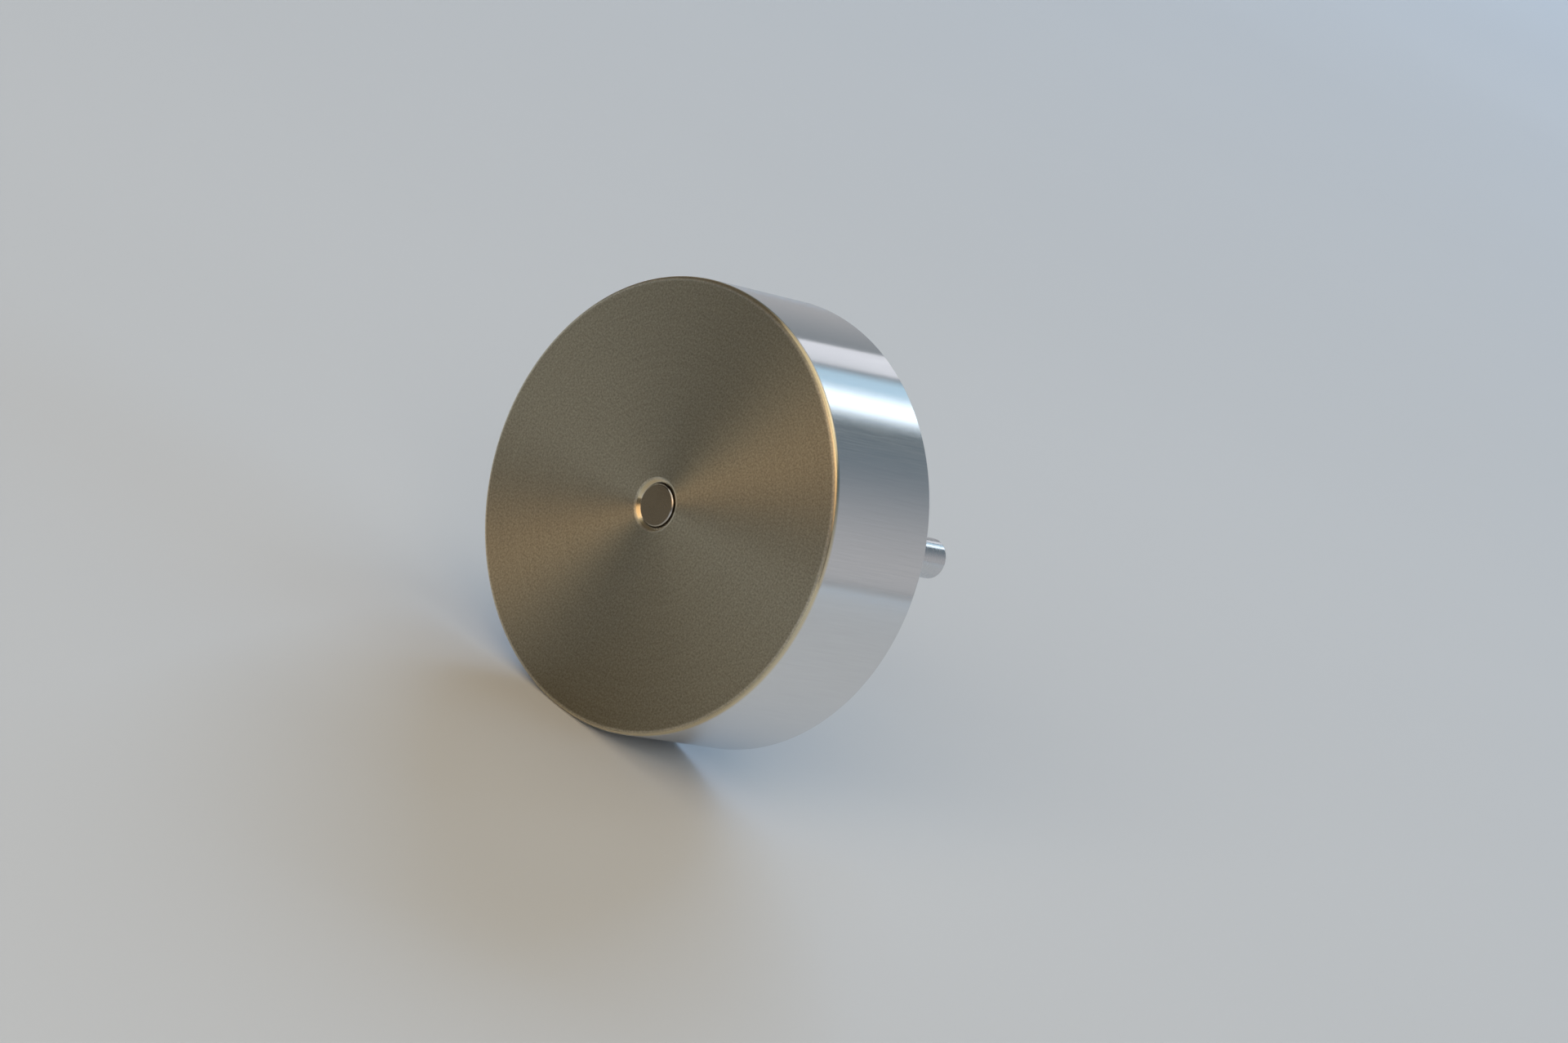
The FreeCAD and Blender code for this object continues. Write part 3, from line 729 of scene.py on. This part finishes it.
# End insulators: pale moulded plastic over both ends of the core, slightly satin, with lips
# that hold the coils, and on the front one the pegs that carry the board.
insulator_plastic = Shader("insulator_plastic", (0.82, 0.80, 0.74), 0.42, Subsurface_Weight=0.08)
mould_grain = insulator_plastic.noise(3500.0, 4.0)
insulator_plastic.gloss(mould_grain, 0.36, 0.52)
insulator_plastic.bump(mould_grain, 0.000005, 0.3)
dress("front_end_insulator", insulator_plastic, 0.00006)
dress("rear_end_insulator", insulator_plastic, 0.00006)


# Coils: enamelled copper wire, wound turn beside turn round each insulated tooth. The four
# coils of a phase are one piece, and their bare tinned ends are led to the board.
wire_radius = 0.000185
coil_turns = 16
outer_layers = 3
coil_corner = 0.0013
coil_inner = 0.0099
tooth_step = 30
quarter_turn = 90
slot_half_angle = math.radians(15)
slot_gap = 0.00012
coil_low, coil_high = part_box("phase_u_coils")
coil_middle = (coil_low.y + coil_high.y) / 2


def wire_turn(distance, inset):
    """One closed turn of wire round the tooth on the x axis, set in from the coil's skin."""
    half_width = distance * math.tan(slot_half_angle) - slot_gap / math.cos(slot_half_angle)
    bpy.ops.object.select_all(action="DESELECT")
    bpy.ops.mesh.primitive_plane_add(size=2, location=(distance, coil_middle, 0),
                                     rotation=(0, math.pi / 2, 0))
    bpy.context.object.scale = (half_width - inset, coil_high.y - coil_middle - inset, 1)
    bpy.ops.object.transform_apply(location=True, rotation=True, scale=True)
    bpy.ops.object.mode_set(mode="EDIT")
    bpy.ops.mesh.select_all(action="SELECT")
    bpy.ops.mesh.bevel(offset=max(coil_corner - inset, wire_radius), segments=4, affect="VERTICES")
    bpy.ops.mesh.delete(type="ONLY_FACE")
    bpy.ops.object.mode_set(mode="OBJECT")
    bpy.ops.object.convert(target="CURVE")
    bpy.context.object.data.bevel_depth = wire_radius
    bpy.context.object.data.bevel_resolution = 2
    bpy.ops.object.convert(target="MESH")
    return bpy.context.object


first_turn = coil_inner + wire_radius
last_turn = coil_high.x - wire_radius
turns = []
for i in range(coil_turns):
    turns.append(wire_turn(first_turn + (last_turn - first_turn) * i / (coil_turns - 1), wire_radius))
turns.append(wire_turn(first_turn, 3 * wire_radius))
for layer in range(1, outer_layers + 1):
    turns.append(wire_turn(last_turn, (1 + 2 * layer) * wire_radius))
winding = joined("winding", turns)

enamel = Shader("enamelled_copper", (0.50, 0.20, 0.075), 0.28, 0.85,
                Coat_Weight=0.4, Coat_Roughness=0.15)
drawn = enamel.noise(1500.0, 3.0)
enamel.tone(drawn, [
    (0.3, (0.42, 0.155, 0.055)),
    (0.7, (0.56, 0.235, 0.09)),
])
enamel.gloss(drawn, 0.22, 0.36)
enamel.bump(enamel.noise(6000.0, 3.0), 0.000004, 0.3)
for number, phase in enumerate("uvw"):
    node = "phase_" + phase + "_coils"
    inside = bpy.data.objects.new("inside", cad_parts[node].data.copy())
    bpy.context.collection.objects.link(inside)
    pick(inside)
    bpy.ops.object.mode_set(mode="EDIT")
    bpy.ops.mesh.select_all(action="SELECT")
    bpy.ops.mesh.remove_doubles(threshold=weld_distance)
    bpy.ops.transform.shrink_fatten(value=-wire_radius)
    bpy.ops.object.mode_set(mode="OBJECT")
    coils = [inside]
    for quarter in range(4):
        coil_angle = math.radians(tooth_step * number + quarter_turn * quarter)
        coil = bpy.data.objects.new("coil", winding.data.copy())
        coil.data.transform(Matrix.Rotation(coil_angle, 4, "Y"))
        bpy.context.collection.objects.link(coil)
        coils.append(coil)
    finish_piece(joined("phase_" + phase + "_windings", coils), enamel,
                 "stator", "enamelled_copper", node)
bpy.data.objects.remove(winding)
tin = Shader("tin_plate", (0.74, 0.73, 0.70), 0.30, 1.0)
tin_grain = tin.noise(3000.0, 3.0)
tin.gloss(tin_grain, 0.22, 0.40)
tin.bump(tin_grain, 0.000004, 0.4)
dress("phase_leads", tin)


# Hall board: green lacquered laminate. Fibre cloth shows faintly through the lacquer, and
# its sawn edge is pale.
board_rear = -0.0066
board_middle = (board_front + board_rear) / 2
cloth_scale = 900.0
lacquer = Shader("board_lacquer", (0.02, 0.13, 0.05), 0.25, Coat_Weight=0.3, Coat_Roughness=0.1)
along = lacquer.cylinder_places()[1]
weave, cross = [lacquer.node("ShaderNodeTexWave", {
    "Vector": lacquer.place, "Scale": cloth_scale, "Distortion": 1.0,
}, bands_direction=across).outputs["Fac"] for across in "XZ"]
cloth = lacquer.math("MULTIPLY", weave, cross)
lacquer_green = lacquer.ramp(cloth, [(0.0, (0.014, 0.105, 0.042)), (1.0, (0.030, 0.165, 0.065))])
from_middle = lacquer.math("ABSOLUTE", lacquer.math("SUBTRACT", along, board_middle))
sawn = lacquer.math("LESS_THAN", from_middle, (board_front - board_rear) / 2 - 0.00006)
edge_colour = lacquer.ramp(lacquer.noise(2500.0, 3.0), [(0.3, (0.42, 0.40, 0.24)),
                                                        (0.7, (0.56, 0.53, 0.34))])
lacquer.set(lacquer.surface, "Base Color", lacquer.node("ShaderNodeMix", {
    0: sawn, 6: lacquer_green, 7: edge_colour}, data_type="RGBA").outputs[2])
lacquer.set(lacquer.surface, "Roughness", lacquer.spread(sawn, 0.0, 1.0, 0.24, 0.7))
lacquer.bump(cloth, 0.000004, 0.4)
dress("hall_board", lacquer, 0.00005)


# Tracks, vias and pads of the board: thin copper in relief under the lacquer, with tinned
# pads and solder at the pins' feet.
pin_pitch = 0.0020
pin_rows = [(i - 3.5) * pin_pitch for i in range(8)]
pad_x = (-0.01995, -0.01900)
pad_half_width = 0.00050
solder_x = -0.01935
solder_lift = 0.00002
solder_size = (0.00034, 0.00030, 0.00042)
track_half_width = 0.00018
track_height = 0.00003
track_start = -0.0190
track_root = 0.0001
via_places = [-0.0232 - 0.0004 * (i % 4) for i in range(8)]
via_radius = 0.00036
via_hole = 0.00014
via_height = 0.00004
arc_radii = (0.01805, 0.01855)
arc_width = 0.0003


def block(low, high, rounding):
    """Rectangular block between two corners, with its edges rounded."""
    middle = [(a + b) / 2 for a, b in zip(low, high)]
    bpy.ops.object.select_all(action="DESELECT")
    bpy.ops.mesh.primitive_cube_add(size=1, location=middle)
    piece = bpy.context.object
    piece.scale = [abs(b - a) for a, b in zip(low, high)]
    bpy.ops.object.transform_apply(location=True, rotation=True, scale=True)
    bpy.ops.object.mode_set(mode="EDIT")
    bpy.ops.mesh.select_all(action="SELECT")
    bpy.ops.mesh.bevel(offset=rounding, segments=2, affect="EDGES")
    bpy.ops.object.mode_set(mode="OBJECT")
    return piece


def dome(middle, size):
    """Smooth mound, as solder makes, of the given half sizes."""
    bpy.ops.object.select_all(action="DESELECT")
    bpy.ops.mesh.primitive_uv_sphere_add(segments=24, ring_count=12, radius=1, location=middle)
    piece = bpy.context.object
    piece.scale = size
    bpy.ops.object.transform_apply(location=True, rotation=True, scale=True)
    return piece


tracks = []
for via_x, z in zip(via_places, pin_rows):
    tracks.append(block((via_x, board_rear - track_height, z - track_half_width),
                        (track_start, board_rear + track_root, z + track_half_width), 0.00001))
for arc_radius in arc_radii:
    tracks.append(turned("arc_track", [
        (arc_radius, board_front - track_root), (arc_radius, board_front + track_height),
        (arc_radius + arc_width, board_front + track_height),
        (arc_radius + arc_width, board_front - track_root),
        (arc_radius, board_front - track_root),
    ], segments=192))
finish_piece(joined("board_tracks", tracks), lacquer, "stator", "board_laminate")

pads = []
for via_x, z in zip(via_places, pin_rows):
    pads.append(block((pad_x[0], board_front - track_root, z - pad_half_width),
                      (pad_x[1], board_front + track_height, z + pad_half_width), 0.00002))
    pads.append(dome((solder_x, board_front + solder_lift, z), solder_size))
    via = turned("via", [
        (via_hole, board_rear + track_root), (via_hole, board_rear - via_height),
        (via_radius, board_rear - via_height), (via_radius, board_rear + track_root),
        (via_hole, board_rear + track_root),
    ], segments=32)
    pads.append(at_place(via, via_x, 0, z))
finish_piece(joined("board_pads", pads), tin, "stator", "tinned_copper")


# Hall sensors and chip capacitors: black moulded packages with a matt skin, and small fired
# bodies with a tinned cap and a slope of solder at each end.
epoxy = Shader("sensor_epoxy", (0.022, 0.022, 0.024), 0.55)
epoxy_grain = epoxy.noise(6000.0, 4.0)
epoxy.gloss(epoxy_grain, 0.45, 0.65)
epoxy.bump(epoxy_grain, 0.000006, 0.4)
dress("hall_sensors", epoxy, 0.00008)
fired_body = Shader("capacitor_body", (0.42, 0.31, 0.20), 0.35)
body_grain = fired_body.noise(5000.0, 3.0)
fired_body.tone(body_grain, [
    (0.3, (0.36, 0.26, 0.165)),
    (0.7, (0.46, 0.345, 0.225)),
])
fired_body.bump(body_grain, 0.000004, 0.3)
dress("board_capacitors", fired_body, 0.00006)

chips_low, chips_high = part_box("board_capacitors")
chip_x = (chips_low.x + chips_high.x) / 2
chip_spacing = 0.0034
chip_half_length = 0.0008
chip_cap = 0.00032
cap_skin = 0.00002
cap_lift = 0.00001
slope_reach = 0.00006
slope_size = (0.00042, 0.00036, 0.00026)
caps = []
for i in range(4):
    for side in (-1, 1):
        chip_end = (i - 1.5) * chip_spacing + side * chip_half_length
        cap_z = sorted((chip_end + side * cap_skin, chip_end - side * chip_cap))
        caps.append(block((chips_low.x - cap_skin, board_front + cap_lift, cap_z[0]),
                          (chips_high.x + cap_skin, chips_high.y + cap_skin, cap_z[1]), 0.00006))
        caps.append(dome((chip_x, board_front, chip_end + side * slope_reach), slope_size))
finish_piece(joined("chip_caps", caps), tin, "stator", "tinned_copper")


# Connector: pale moulded housing, open to the side, with keying slots in its wall and
# eight tinned square pins that bend down to the board behind it.
housing_plastic = Shader("connector_plastic", (0.80, 0.77, 0.68), 0.45, Subsurface_Weight=0.06)
housing_grain = housing_plastic.noise(3000.0, 4.0)
housing_plastic.gloss(housing_grain, 0.38, 0.55)
housing_plastic.bump(housing_grain, 0.000006, 0.35)
dress("connector_housing", housing_plastic, 0.00012)
dress("connector_pins", tin, 0.00006)
